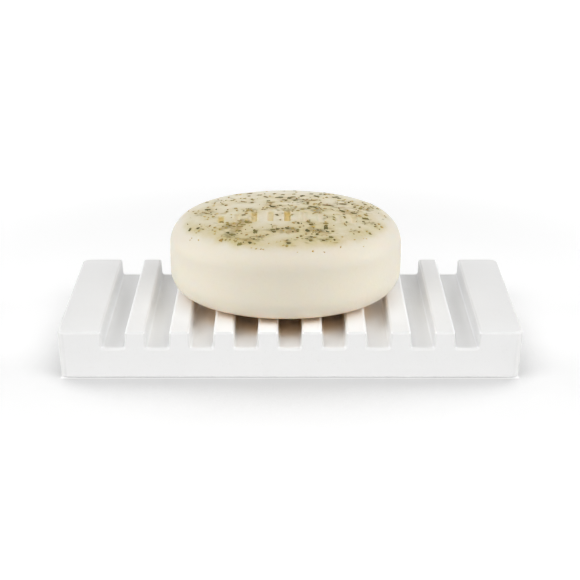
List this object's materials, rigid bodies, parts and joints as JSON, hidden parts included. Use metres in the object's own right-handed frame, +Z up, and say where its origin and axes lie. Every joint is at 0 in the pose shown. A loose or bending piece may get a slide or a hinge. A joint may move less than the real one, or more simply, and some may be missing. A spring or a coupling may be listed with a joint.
{
  "type": "shaving soap puck",
  "caption": "Round herb-topped puck of hard shaving soap standing on a ribbed draining dish with recessed rubber feet; the puck lifts off.",
  "frame": {"origin": "middle of the dish's footprint, on the surface that the pads stand on", "axes": "+X along the dish, +Y from its front to its back, +Z up out of the puck's crown"},
  "size_m": [0.1396, 0.0754, 0.0435],
  "materials": {
    "dish_ceramic": "matt white",
    "pad_rubber": "matt, slightly cloudy grey",
    "soap": "waxy cream, slightly see-through at its edge",
    "leaf_dark_green": "dry dark green leaf",
    "leaf_olive": "dry olive leaf",
    "stem_brown": "dry brown stem",
    "husk_ochre": "dry ochre husk"
  },
  "bodies": {
    "dish": {"draining_dish": "dish_ceramic", "foot_pad_front_left": "pad_rubber", "foot_pad_front_right": "pad_rubber", "foot_pad_back_left": "pad_rubber", "foot_pad_back_right": "pad_rubber"},
    "puck": {"soap_puck": "soap", "leaf_flakes": "leaf_dark_green", "leaf_crumbs": "leaf_olive", "stem_slivers": "stem_brown", "husk_crumbs": "husk_ochre"}
  },
  "joints": [
    {"name": "puck_lift", "type": "slide", "parent": "dish", "child": "puck", "axis": [0, 0, 1], "range_m": [0, 0.045]}
  ]
}
